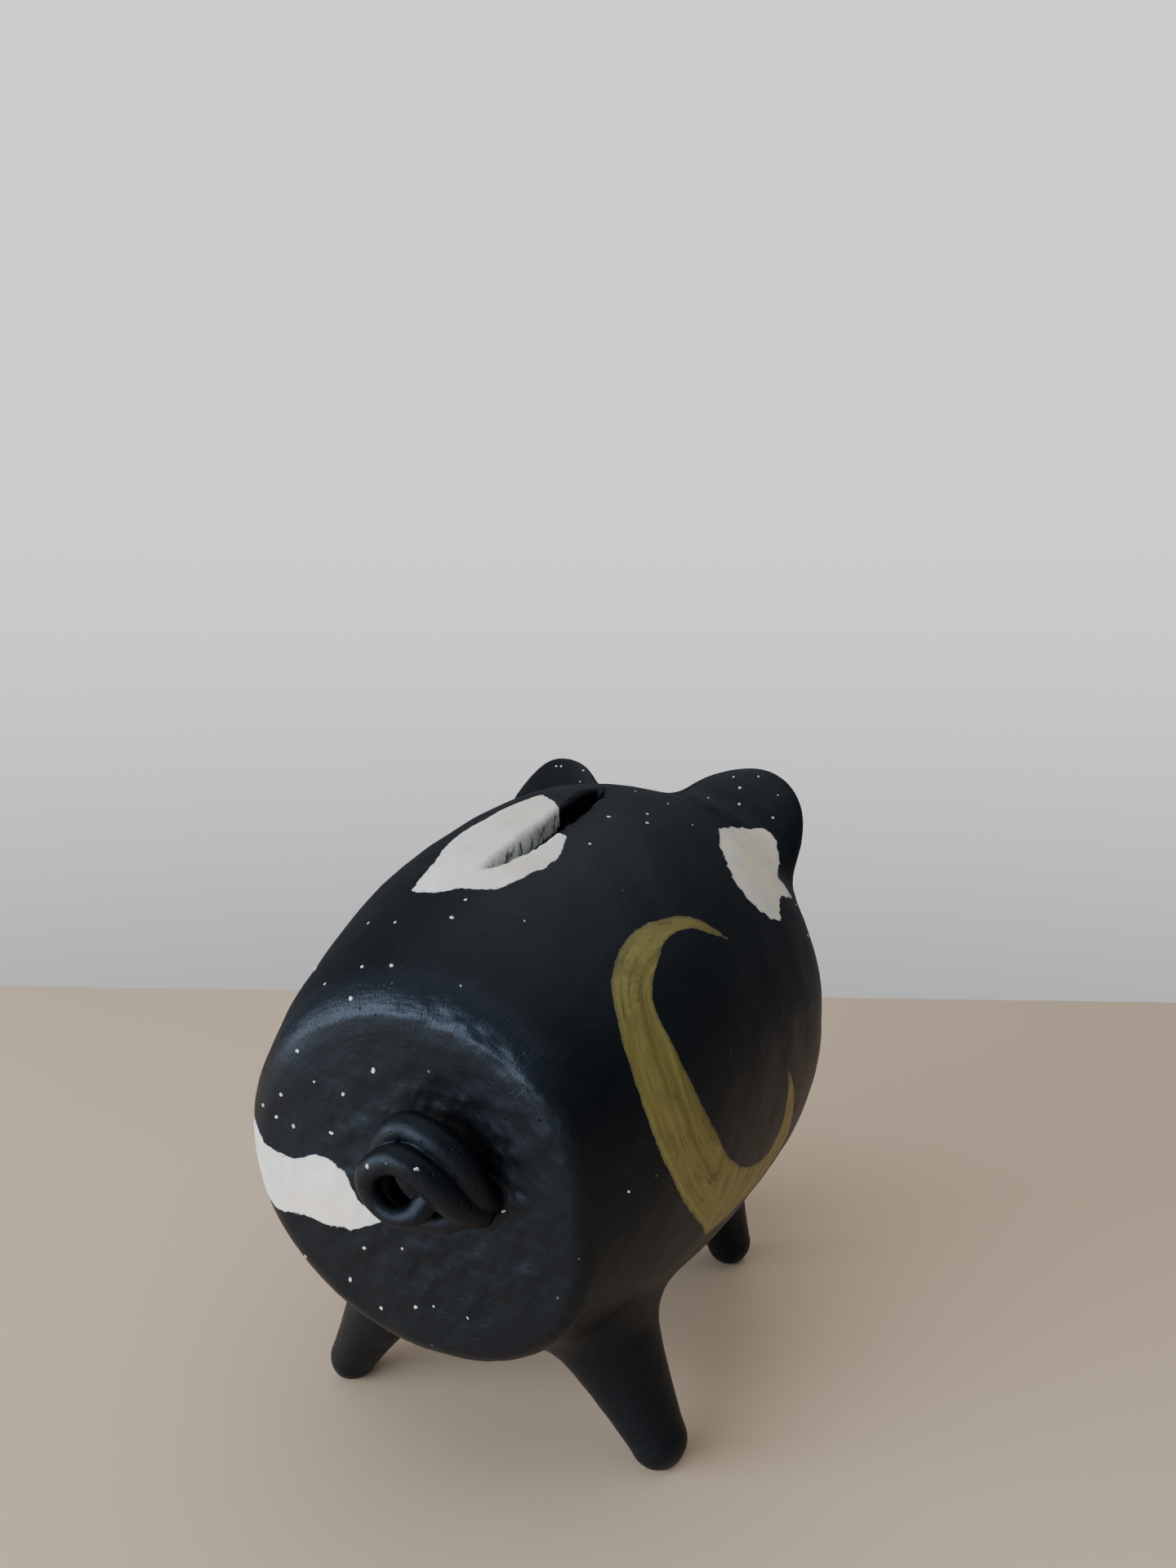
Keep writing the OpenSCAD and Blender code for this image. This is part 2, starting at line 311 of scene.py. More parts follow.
class Limb:
    """A piece luted on to the barrel. blend is the width of its fillet. seam is how far out on the
    fillet its own mesh takes over from the barrel's, and width how gently. step is its mesh's."""
    MARGIN = 13  # mm round its CAD node, past which it isn't felt

    def __init__(self, node, field, blend, seam, width, step):
        self.node, self.field, self.step = node, field, step
        self.blend, self.seam, self.width = blend, seam, width
        low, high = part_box(node)
        self.low = np.array(low) / MM - self.MARGIN
        self.high = np.array(high) / MM + self.MARGIN

    def __call__(self, p, b):
        out = np.full(len(p), FAR)
        near = ((p > self.low) & (p < self.high)).all(1)
        if near.any():
            out[near] = self.field(p[near], b[near])
        return out


def leg_limb(node, foot, lean, foot_r):
    return Limb(node, lambda p, b: leg(p, foot, lean, foot_r), 6.5, 3.2, 2.3, 0.6)


def ear_limb(node, side):
    return Limb(node, lambda p, b: ear(p, side), 5.5, 1.9, 1.6, 0.6)


SNOUT = Limb("snout_tube", lambda p, b: snout(b), 6.0, 2.5, 2.0, 0.6)
TAIL = Limb("tail_coil", lambda p, b: rope(b), 1.6, 0.6, 0.6, 0.4)
LIMBS = [
    leg_limb("leg_rear_left", (-33.0, 29.5), (10, 0.5, 17.6), 4.9),
    leg_limb("leg_rear_right", (33.0, 29.5), (-10, 0.5, 17.6), 5.5),
    leg_limb("leg_front_left", (-25.5, 101.5), (5, -3, 17.6), 5.2),
    leg_limb("leg_front_right", (25.5, 101.5), (-5, -3, 17.6), 5.2),
    ear_limb("ear_left", -1),
    ear_limb("ear_right", 1),
    SNOUT,
    TAIL,
]


# ---------------------------------------------------------------- the clay's skin
def unevenness(p, b, tail):
    """How far hand-worked clay stands proud of its ideal shape. The rear face is roughest round the
    tail, where the clay was smeared to take it, and the rim is torn a little at its upper right."""
    rear = ramp(-b[:, 1], -3.0, 0.0)
    rough = rear * ramp(np.hypot(b[:, 0] - 4, b[:, 2] + 2), 32, 12) * ramp(tail, 0.3, 2.0)
    rim = np.exp(-((np.hypot(b[:, 0], b[:, 2]) - 30) / 2.5) ** 2) * ramp(-b[:, 1], -6, -2)
    torn = rim * ramp(np.cos(np.arctan2(b[:, 0], b[:, 2]) - 0.6), 0.75, 0.93)
    luted = rough * ramp(-tail, -6, -2)
    dimples = 0.02 + 0.10 * rough + 0.10 * torn
    smears = 0.010 + 0.05 * rough + 0.06 * torn + 0.06 * luted
    return 0.13 * swell(p) + 0.07 * lump(p) + dimples * dimple(p) + smears * smear(p)


def clay(p, b, limbs):
    """The skin of the barrel with some limbs on it, and each one's own distance."""
    skin, tail = barrel(b), np.full(len(p), FAR)
    own = []
    for limb in limbs:
        d = limb(p, b)
        own.append(d)
        skin = smooth_min(skin, d, limb.blend)
        if limb is TAIL:
            tail = d
    return skin - unevenness(p, b, tail), own


def give_way(t, width):
    """Where two pieces share one skin, each sinks under the other past the seam, at t = 0, so slowly
    that the crossing doesn't show."""
    slope = 0.03
    near = slope * (t + width) ** 2 / (4 * width)
    far = slope * t + 0.5 * (t - width) ** 2
    return np.where(t < -width, 0, np.where(t < width, near, far))


# ---------------------------------------------------------------- slot, cavity and belly hole
SLOT_Y, SLOT_HALF_L, SLOT_HALF_W = 57.7, 25.0, 2.95
SLOT_X, SLOT_BOW = 2.8, 2.4            # how far right its middle line lies, and how much that line bows
SLOT_BOW_Y, SLOT_BOW_L = 61.0, 24.0
SLOT_END_Z, HOLE_END_Z = 10.0, -20.0   # where the two cuts end, well inside the cavity


def slot(b):
    """The leaf-shaped coin slot, cut straight down through the back."""
    t = (b[:, 1] - SLOT_Y) / SLOT_HALF_L
    half = SLOT_HALF_W * np.sqrt(np.maximum(0, 1 - np.abs(t) ** 4))
    centre = SLOT_X - SLOT_BOW * ((b[:, 1] - SLOT_BOW_Y) / SLOT_BOW_L) ** 2
    side = np.abs(b[:, 0] - centre) - half
    ends = np.abs(b[:, 1] - SLOT_Y) - SLOT_HALF_L
    return np.maximum(np.maximum(side, ends), SLOT_END_Z - b[:, 2])


def cavity(b):
    return np.maximum(open_barrel(b) + WALL, PLATE_T + 1.0 - b[:, 1])


def belly_hole(b):
    rad = np.hypot(b[:, 0], b[:, 1] - STOPPER_Y)
    recess = np.maximum(rad - SEAT_R, b[:, 2] - SEAT_Z)
    return np.minimum(recess, np.maximum(rad - HOLE_R, b[:, 2] - HOLE_END_Z))


# ---------------------------------------------------------------- one field for each piece
ROOT = 3.0  # how far a limb's root goes into the wall
LAP = 1.0   # how far two pieces that meet at a cut go past it


def body_piece(p):
    b = to_barrel(p)
    skin, own = clay(p, b, LIMBS)
    for limb, d in zip(LIMBS, own):
        skin = skin + give_way(limb.seam - d, limb.width)
    # Under a limb the wall goes on, 1 mm down.
    skin = np.minimum(skin, np.maximum(barrel(b), 2 - b[:, 1]) + 1.0)
    # It laps 2 mm under the edge of the rear plate.
    skin = np.maximum(skin + give_way(PLATE_T - b[:, 1], 2.0), PLATE_T - 2 - b[:, 1])
    skin = np.maximum(skin, -cavity(b))
    skin = smooth_max(skin, -slot(b), 0.8)
    return smooth_max(skin, -belly_hole(b), 0.7)


def plate_piece(p):
    b = to_barrel(p)
    skin, (d,) = clay(p, b, [TAIL])
    skin = np.minimum(skin + give_way(TAIL.seam - d, TAIL.width), barrel(b) + 0.8)
    return np.maximum(skin + give_way(b[:, 1] - PLATE_T, 2.0), b[:, 1] - PLATE_T - LAP)


def limb_piece(limb):
    def field(p):
        b = to_barrel(p)
        skin, (d,) = clay(p, b, [limb])
        return np.maximum(skin + give_way(d - limb.seam, limb.width), -barrel(b) - ROOT)
    return field


def eye_piece(side):
    """A pellet pressed on to the barrel."""
    def field(p):
        b = to_barrel(p)
        return np.maximum(eye(b, side) - 0.05 * dimple(p), -barrel(b) - ROOT)
    return field


def snout_tube_piece(p):
    b = to_barrel(p)
    past = b[:, 1] - SNOUT_JOINT_Y
    shape = np.maximum(limb_piece(SNOUT)(p) + give_way(past, 0.8), past - LAP)
    bore = np.maximum(np.hypot(b[:, 0], b[:, 2]) - SNOUT_BORE_R, BODY_L + 0.5 - b[:, 1])
    return np.maximum(shape, -bore)


def snout_plate_piece(p):
    b = to_barrel(p)
    skin, _ = clay(p, b, [SNOUT])
    short = SNOUT_JOINT_Y - b[:, 1]
    return smooth_max(np.maximum(skin + give_way(short, 0.8), short - LAP), -nostrils(b), 1.2)


FLANGE_R, FLANGE_T, FLANGE_EDGE = 15.0, 2.5, 0.9
DISH_R, DISH_BALL_R, DISH_BALL_Z = 12.0, 26.9, -28.5  # the shallow dish in the flange
NECK_R, NECK_TAPER, NECK_L = 12.3, 0.9, 7.0


def stopper_piece(p):
    """A dished flange, a tapering neck, and a bar across the dish to pull it by."""
    b = to_barrel(p) - [0, STOPPER_Y, SEAT_Z]
    rad, z = np.hypot(b[:, 0], b[:, 1]), b[:, 2]
    half = FLANGE_T / 2
    through = np.maximum(np.abs(z + half) - half + FLANGE_EDGE, 0)
    flange = np.hypot(np.maximum(rad - FLANGE_R + FLANGE_EDGE, 0), through) - FLANGE_EDGE
    dish = np.hypot(rad, z - DISH_BALL_Z) - DISH_BALL_R
    flange = smooth_max(flange, -np.maximum(dish, rad - DISH_R), 0.6)
    neck = np.maximum(rad - NECK_R + NECK_TAPER * ramp(z, 4.5, NECK_L), np.maximum(z - NECK_L, -z - 1))
    pinch = np.abs(b[:, 0]) - 6.6, np.abs(b[:, 1]) - 0.75, np.abs(z + 3.2) - 1.0
    grip = np.linalg.norm(np.maximum(np.stack(pinch, -1), 0), axis=1) - 0.8
    return smooth_min(np.minimum(flange, neck), grip, 0.7)


# ---------------------------------------------------------------- from field to mesh
def part_of(axis, part):
    """An index that takes part of one axis, and the whole of the other two."""
    index = [slice(None)] * 3
    index[axis] = part
    return tuple(index)


def surface(field, low, high, step):
    """One vertex in each grid cell that the surface crosses, and one quad round each crossed edge."""
    axes = [np.arange(low[i], high[i] + step, step) for i in range(3)]
    shape = tuple(len(a) for a in axes)
    values = np.empty(shape)
    rest = np.stack(np.meshgrid(axes[1], axes[2], indexing="ij"), -1).reshape(-1, 2)
    for i, x in enumerate(axes[0]):
        values[i] = field(np.column_stack([np.full(len(rest), x), rest])).reshape(shape[1:])
    for axis in range(3):  # nothing reaches the box's own walls
        for end in (0, -1):
            wall = part_of(axis, end)
            values[wall] = np.maximum(values[wall], step)
    inside = values < 0
    cells = tuple(n - 1 for n in shape)
    total, crossed = np.zeros(cells + (3,)), np.zeros(cells)
    edges = []
    for axis in range(3):
        first, second = part_of(axis, slice(0, -1)), part_of(axis, slice(1, None))
        a, b = values[first], values[second]
        cut = inside[first] != inside[second]
        t = np.where(cut, a / np.where(cut, a - b, 1), 0)
        others = [k for k in range(3) if k != axis]
        for du in (0, 1):
            for dv in (0, 1):
                window = [slice(None)] * 3
                for k, d in zip(others, (du, dv)):
                    window[k] = slice(d, d + cells[k])
                c, tt = cut[tuple(window)], t[tuple(window)]
                crossed += c
                offset = np.zeros(c.shape + (3,))
                offset[..., axis] = tt
                offset[..., others[0]], offset[..., others[1]] = du, dv
                total += offset * c[..., None]
        edges.append((axis, others, cut, inside[first]))
    used = crossed > 0
    index = np.full(cells, -1)
    index[used] = np.arange(used.sum())
    where = np.argwhere(used)
    points = np.array([a[0] for a in axes]) + step * (where + total[used] / crossed[used][:, None])
    quads = []
    for axis, (u, v), cut, starts_inside in edges:
        at = np.argwhere(cut)
        at = at[(at[:, u] > 0) & (at[:, v] > 0)]
        ring = []
        for du, dv in ((0, 0), (1, 0), (1, 1), (0, 1)):
            cell = at.copy()
            cell[:, u] -= du
            cell[:, v] -= dv
            ring.append(index[tuple(cell.T)])
        ring = np.stack(ring, -1)
        flip = starts_inside[tuple(at.T)] == (axis == 1)
        ring[flip] = ring[flip][:, ::-1]
        quads.append(ring)
    return points, np.concatenate(quads)


def slope_of(field, p, h=0.04):
    g = np.empty_like(p)
    for i in range(3):
        d = np.zeros(3)
        d[i] = h
        g[:, i] = (field(p + d) - field(p - d)) / (2 * h)
    return g


def settle(field, points, quads, step, rounds=3):
    """Evens the mesh out and lays it exactly on the surface."""
    ends = np.concatenate([quads, np.roll(quads, 1, axis=1)]).reshape(-1)
    others = np.concatenate([np.roll(quads, 1, axis=1), quads]).reshape(-1)
    count = np.bincount(ends, minlength=len(points))
    for turn in range(rounds + 1):
        if turn < rounds:
            mean = np.stack([np.bincount(ends, points[others, i], len(points)) for i in range(3)], -1)
            points = points + 0.6 * (mean / count[:, None] - points)
        g = slope_of(field, points)
        move = field(points)[:, None] * g / np.maximum((g * g).sum(1), 0.2)[:, None]
        length = np.linalg.norm(move, axis=1, keepdims=True)
        points = points - move * np.minimum(1, 0.5 * step / np.maximum(length, 1e-9))
    return points


def clay_mesh(name, field, low, high, step):
    points, quads = surface(field, np.asarray(low, float), np.asarray(high, float), step)
    points = settle(field, points, quads, step)
    mesh = bpy.data.meshes.new(name)
    mesh.from_pydata((points * MM).tolist(), [], quads.tolist())
    mesh.validate()
    mesh.shade_smooth()
    piece = bpy.data.objects.new(name, mesh)
    bpy.context.scene.collection.objects.link(piece)
    paint(mesh, points)
    return piece


# ---------------------------------------------------------------- painted shapes
def outline(*runs):
    """A closed line of smooth runs that meet at corners."""
    return np.concatenate([spline(run) for run in runs])


def distance_inside(p, line):
    """Distance from a closed line, below zero inside it."""
    a, b = line, np.roll(line, -1, axis=0)
    best, inside = np.full(len(p), 1e9), np.zeros(len(p), bool)
    for (ax, ay), (bx, by) in zip(a, b):
        ex, ey = bx - ax, by - ay
        t = np.clip(((p[:, 0] - ax) * ex + (p[:, 1] - ay) * ey) / max(ex * ex + ey * ey, 1e-9), 0, 1)
        best = np.minimum(best, (p[:, 0] - ax - t * ex) ** 2 + (p[:, 1] - ay - t * ey) ** 2)
        if ay != by:
            crosses = ((ay > p[:, 1]) != (by > p[:, 1])) & (p[:, 0] < ax + (p[:, 1] - ay) * ex / ey)
            inside ^= crosses
    return np.where(inside, -1, 1) * np.sqrt(best)


# On the barrel: distance from the rear face, and degrees round from the top towards the pig's right.
MOON_OUTER = [(53, 54), (48, 44.5), (40.5, 39.5), (32, 37.5), (24, 40), (18.5, 46), (14, 60), (13.5, 79),
              (19, 98), (32.5, 117)]
MOON_BELLY = [(32.5, 117), (45, 117.5), (58, 116.5), (64.5, 109), (63, 99), (61, 93), (57.7, 86.2)]
MOON_INNER = [(57.7, 86.2), (58.2, 97), (56, 103.5), (48, 105.5), (36.5, 99.5), (29, 88.5), (24.5, 70),
              (25, 54.5), (29.5, 48), (38, 44), (44.5, 45.5), (48.5, 49.5), (53, 54)]
LEFT_MOON = (3.0, 13)  # the left moon sits this much further forward and lower
SLOT_PATCH = [
    [(26.5, -18.5), (36, -19), (50, -21.5), (58.5, -20), (67, -16.5), (75, -11)],
    [(75, -11), (69, -5), (65, -1.5), (62, 1)],
    [(62, 1), (58, 4), (50.5, 6)],
    [(50.5, 6), (49, 9), (46, 10.5), (39.5, 12), (32, 9.5), (27, 6.5), (25.3, 1.5), (25.5, -3.5),
     (24.3, -9), (26.5, -18.5)],
]
# The mark at the tail, seen square on to the rear face: right, up. It wraps on to the left flank, which
# is laid out flat beyond the face.
TAIL_PATCH = [
    [(-52, 12), (-40, 8), (-32, 3.5), (-29, 1), (-24, 0), (-17.8, 1.6), (-13.4, -0.9), (-10.5, -5.5),
     (-6.7, -8.9)],
    [(-6.7, -8.9), (-10, -10.5), (-12.5, -11.8), (-18, -11.7), (-23, -11), (-29, -11), (-38, -9),
     (-52, -7)],
    [(-52, -7), (-55, -7.5), (-58.5, -5), (-60, 0), (-59, 5), (-56.5, 7), (-55, 10.5), (-52, 12)],
]
FLANK_LAID = 0.9      # mm of it laid out for each mm forward
TAIL_PATCH_END = 24   # mm forward of the rear face, past its last point
# The mark behind each ear, seen from behind and a little inwards: outwards, up.
EAR_PATCH = [
    [(-7, 8), (-4, 8.6), (0, 8.7), (3, 8.5), (5.5, 6.5), (6, 4.5), (6.4, 2), (5.7, -2.3)],
    [(5.7, -2.3), (7, -4), (9, -7)],
    [(9, -7), (6.2, -6.4), (5.8, -9), (6.2, -11)],
    [(6.2, -11), (4.3, -10.5), (0, -7.3), (-3.2, -3), (-6.2, 3.5), (-7, 8)],
]
EAR_PATCH_CENTRE = np.array([32.7, 89.0 - MIDDLE_Y, 100.0])
EAR_PATCH_RIGHT, EAR_PATCH_UP = np.array([0.975, 0.262, 0.02]), np.array([-0.08, 0.19, 0.98])
EAR_PATCH_REACH = 28  # mm from its centre, past its last point
DEGREE = 0.8          # mm of skin that one degree round the barrel is taken as
PAINT_DEPTH = 4.5     # mm down into the wall that paint can reach, through the slot
BARE_DEPTH = 4.6      # mm down from which the clay is bare


def scaled(runs):
    return [[(y, angle * DEGREE) for y, angle in run] for run in runs]


def set_values(mesh, name, values):
    mesh.attributes.new(name, "FLOAT", "POINT").data.foreach_set("value", values.astype(np.float32))


def paint(mesh, p):
    """Stores, at each point of the skin, its distance from the edge of each painted shape."""
    b = to_barrel(p)
    rad = np.maximum(np.hypot(b[:, 0], b[:, 2]), 1e-6)
    depth = -barrel(b)
    buried = np.maximum(depth - PAINT_DEPTH, 0) * 3
    right = np.stack([b[:, 1], np.degrees(np.arctan2(b[:, 0], b[:, 2])) * DEGREE], -1)
    left = right * [1, -1]

    moon = outline(*scaled([MOON_OUTER, MOON_BELLY, MOON_INNER]))
    left = left - [LEFT_MOON[0], LEFT_MOON[1] * DEGREE]
    gold = np.minimum(distance_inside(right, moon), distance_inside(left, moon))
    outer_edge = spline(scaled([MOON_OUTER])[0])
    brushed = np.abs(distance_inside(np.where(b[:, :1] > 0, right, left), outer_edge))

    cream = distance_inside(right, outline(*scaled(SLOT_PATCH)))
    flat = b[:, [0, 2]] / rad[:, None] * (rad + FLANK_LAID * np.maximum(b[:, 1], 0))[:, None]
    at_tail = np.where(b[:, 1] < TAIL_PATCH_END, distance_inside(flat, outline(*TAIL_PATCH)), FAR)
    cream = np.minimum(cream, at_tail)
    for side in (-1, 1):
        q = p * [side, 1, 1] - EAR_PATCH_CENTRE
        seen = np.stack([q @ EAR_PATCH_RIGHT, q @ EAR_PATCH_UP], -1)
        behind = ear_axes(p, side)[:, 1] < 0.5
        near = (np.linalg.norm(q, axis=1) < EAR_PATCH_REACH) & behind
        cream = np.where(near, np.minimum(cream, distance_inside(seen, outline(*EAR_PATCH))), cream)

    set_values(mesh, "gold", gold + buried)
    set_values(mesh, "stroke", brushed)
    set_values(mesh, "cream", cream + buried)
    set_values(mesh, "bare", depth - BARE_DEPTH)


# ---------------------------------------------------------------- node helpers
SHADER_INPUTS = {"base_color": "Base Color", "roughness": "Roughness", "normal": "Normal",
                 "specular": "Specular IOR Level", "specular_tint": "Specular Tint"}


class Nodes:
    """Short calls for building a material's node tree."""

    def __init__(self, name):
        self.material = bpy.data.materials.new(name)
        self.material.use_nodes = True
        self.tree = self.material.node_tree
        self.shader = self.tree.nodes["Principled BSDF"]
        self.place = self.add("ShaderNodeTexCoord", "Object")

    def link(self, value, socket):
        if isinstance(value, bpy.types.NodeSocket):
            self.tree.links.new(value, socket)
        else:
            socket.default_value = value

    def shade(self, **inputs):
        """Sets the shader's inputs, such as base_color."""
        for name, value in inputs.items():
            self.link(value, self.shader.inputs[SHADER_INPUTS[name]])

    def add(self, kind, out=0, inputs=(), **settings):
        node = self.tree.nodes.new(kind)
        for key, value in settings.items():
            setattr(node, key, value)
        for key, value in dict(inputs).items():
            self.link(value, node.inputs[key])
        return node.outputs[out]

    def value(self, name):
        return self.add("ShaderNodeAttribute", "Fac", attribute_name=name)

    def math(self, operation, a, b=0.0, c=0.0):
        return self.add("ShaderNodeMath", 0, {0: a, 1: b, 2: c}, operation=operation)

    def plus(self, a, b):
        return self.math("ADD", a, b)

    def minus(self, a, b):
        return self.math("SUBTRACT", a, b)

    def times(self, a, b):
        return self.math("MULTIPLY", a, b)

    def most(self, a, b):
        return self.math("MAXIMUM", a, b)

    def noise(self, vector, scale, detail=3.0, rough=0.55):
        inputs = {"Vector": vector, "Scale": scale, "Detail": detail, "Roughness": rough}
        return self.add("ShaderNodeTexNoise", "Fac", inputs)

    def cells(self, vector, scale):
        return self.add("ShaderNodeTexVoronoi", "Distance", {"Vector": vector, "Scale": scale})

    def stretch(self, vector, scale):
        return self.add("ShaderNodeMapping", 0, {"Vector": vector, "Scale": scale})

    def between(self, value, low, high, to_low=0.0, to_high=1.0, kind="LINEAR"):
        return self.add("ShaderNodeMapRange", 0, {0: value, 1: low, 2: high, 3: to_low, 4: to_high},
                        interpolation_type=kind)

    def blend(self, factor, a, b):
        """Between two numbers."""
        return self.add("ShaderNodeMix", 0, {0: factor, 2: a, 3: b})

    def mix(self, factor, a, b):
        """Between two colours."""
        return self.add("ShaderNodeMix", 2, {0: factor, 6: a, 7: b}, data_type="RGBA")

    def bump(self, height, distance, strength=1.0):
        return self.add("ShaderNodeBump", 0, {"Height": height, "Strength": strength, "Distance": distance})


def rgb(r, g, b):
    return (r, g, b, 1.0)


# ---------------------------------------------------------------- materials
BLACK_FULL, BLACK_THIN = rgb(0.0015, 0.0018, 0.0029), rgb(0.0026, 0.0032, 0.0050)
BLACK_STROKE, BLACK_RUBBED = rgb(0.0046, 0.0060, 0.0095), rgb(0.020, 0.026, 0.036)
# The fleck colour is partly scuffs in the paint and partly painted glints.
# The rim colour is a painted highlight: a lighter bluish black laid along the rim's upper part.
BLACK_RIM_HIGHLIGHT, FLECK_AND_GLINT, PIT = rgb(0.010, 0.014, 0.020), rgb(0.11, 0.14, 0.18), rgb(0.002, 0.002, 0.002)
GOLD_DARK, GOLD_LIGHT = rgb(0.175, 0.145, 0.036), rgb(0.300, 0.262, 0.080)
GOLD_DULL, GOLD_SPECK, GOLD_THIN = rgb(0.105, 0.090, 0.028), rgb(0.02, 0.022, 0.018), rgb(0.050, 0.054, 0.048)
CREAM_WARM, CREAM_WHITE, CREAM_BY_EAR = rgb(0.86, 0.75, 0.63), rgb(0.88, 0.86, 0.82), rgb(0.90, 0.81, 0.61)
# The thin cream also serves as painted shade down the slot's walls.
CREAM_THIN_AND_SHADE, CREAM_PIT = rgb(0.62, 0.68, 0.70), rgb(0.30, 0.25, 0.21)
CLAY_DARK, CLAY_RED = rgb(0.10, 0.030, 0.014), rgb(0.20, 0.062, 0.028)
ROUGH_GOLD, ROUGH_CREAM = 0.50, 0.72
COAT_RELIEF = 0.00010  # m, the height of one coat of paint


def barrel_place(n):
    """Where a point lies about the barrel's axis: unrolled, so that strokes can run round it, then its
    distance from the rear face, its distance from the axis, and how near it is to the top."""
    inputs = {"Vector": n.place, "Location": (0, -MIDDLE_Y * MM, AXIS_H * MM), "Rotation": (LEAN, 0, 0)}
    axes = n.add("ShaderNodeMapping", 0, inputs, vector_type="TEXTURE")
    split = n.tree.nodes.new("ShaderNodeSeparateXYZ")
    n.link(axes, split.inputs[0])
    x, y, z = split.outputs
    rolled = n.times(n.math("ARCTAN2", x, z), 0.04)
    radius = n.math("SQRT", n.plus(n.times(x, x), n.times(z, z)))
    unrolled = n.add("ShaderNodeCombineXYZ", 0, {"X": rolled, "Y": y, "Z": radius})
    return unrolled, y, radius, n.math("DIVIDE", z, radius)


def black_coat(n, blotch, hairs, at_rim, pits):
    """Uneven near-black: fine strokes, rubbed places, pale specks that are partly scuffs and partly painted
    glints, and a lighter band along the rim that is a painted highlight.
    """
    black = n.mix(n.between(blotch, 0.35, 0.7), BLACK_FULL, BLACK_THIN)
    black = n.mix(n.between(hairs, 0.5, 0.8, 0.0, 0.5), black, BLACK_STROKE)
    rubbed = n.between(n.noise(n.place, 140, 4, 0.7), 0.62, 0.78, 0.0, 0.35)
    black = n.mix(rubbed, black, BLACK_RUBBED)
    # Pale bluish specks: partly scuffs in the paint, partly painted glints.
    fleck_and_glint_here = n.between(n.noise(n.place, 38, 2, 0.5), 0.46, 0.58, 0.0, 0.8)
    flecks_and_glints = n.times(n.between(n.cells(n.place, 170), 0.03, 0.05, 1.0, 0.0), fleck_and_glint_here)
    black = n.mix(flecks_and_glints, black, FLECK_AND_GLINT)
    # Painted highlight: the upper rim is lightened to strengthen the window's reflection there.
    black = n.mix(n.times(at_rim, 0.5), black, BLACK_RIM_HIGHLIGHT)
    return n.mix(pits, black, PIT)


def gold_coat(n, wobble, pits):
    """Olive gold, thin at its edges: its colour, where it is, and its brush streaks, which follow the
    moon, so they lie at a steady distance from its outer edge."""
    lanes = n.add("ShaderNodeCombineXYZ", 0, {"X": n.value("stroke")})
    drift = n.stretch(n.place, (60, 60, 60))
    lanes = n.add("ShaderNodeVectorMath", 0, {0: lanes, 1: drift}, operation="ADD")
    streak = n.noise(lanes, 0.55, 4, 0.6)
    gold = n.mix(n.between(streak, 0.35, 0.68), GOLD_DARK, GOLD_LIGHT)
    gold = n.mix(n.between(n.noise(n.place, 230, 4, 0.6), 0.52, 0.72, 0.0, 0.5), gold, GOLD_DULL)
    specks = n.between(n.noise(lanes, 2.4, 3, 0.7), 0.58, 0.72, 0.0, 0.75)
    gold = n.mix(n.most(specks, n.times(pits, 0.35)), gold, GOLD_SPECK)
    inside = n.plus(n.value("gold"), n.times(wobble, 0.45))
    gold = n.mix(n.between(inside, -0.75, -0.1, 0.0, 0.5), gold, GOLD_THIN)
    return gold, n.between(inside, -0.10, 0.06, 1.0, 0.0), streak


def cream_coat(n, along, wobble, pits):
    """Cream, thin and bluish at its edges, with painted shade darkening it down the slot's walls: its colour,
    and where it is.
    """
    cream = n.mix(n.between(n.noise(n.place, 110, 4, 0.6), 0.35, 0.65), CREAM_WARM, CREAM_WHITE)
    cream = n.mix(n.between(along, 0.068, 0.076, 0.0, 0.75), cream, CREAM_BY_EAR)
    inside = n.plus(n.value("cream"), n.times(wobble, 0.9))
    veil = n.between(n.noise(n.stretch(n.place, (420, 420, 200)), 0.35, 5, 0.7), 0.47, 0.66, 0.0, 0.75)
    # Thin cream at the patches' edges, and painted shade darkening the cream with depth down the slot's
    # walls.
    thin = n.most(n.between(inside, -0.8, 0.0, 0.0, 0.6), n.between(n.value("bare"), -3.6, -1.0, 0.0, 0.85))
    cream = n.mix(n.most(veil, thin), cream, CREAM_THIN_AND_SHADE)
    cream = n.mix(n.times(pits, 0.5), cream, CREAM_PIT)
    # The brush missed places on the slot's walls.
    gaps = n.between(n.noise(n.stretch(n.place, (1100, 700, 300)), 1.0, 3, 0.6), 0.50, 0.62, 0.0, 0.85)
    missed = n.times(gaps, n.between(n.value("bare"), -4.3, -2.5))
    return cream, n.times(n.between(inside, -0.12, 0.06, 1.0, 0.0), n.minus(1.0, missed))


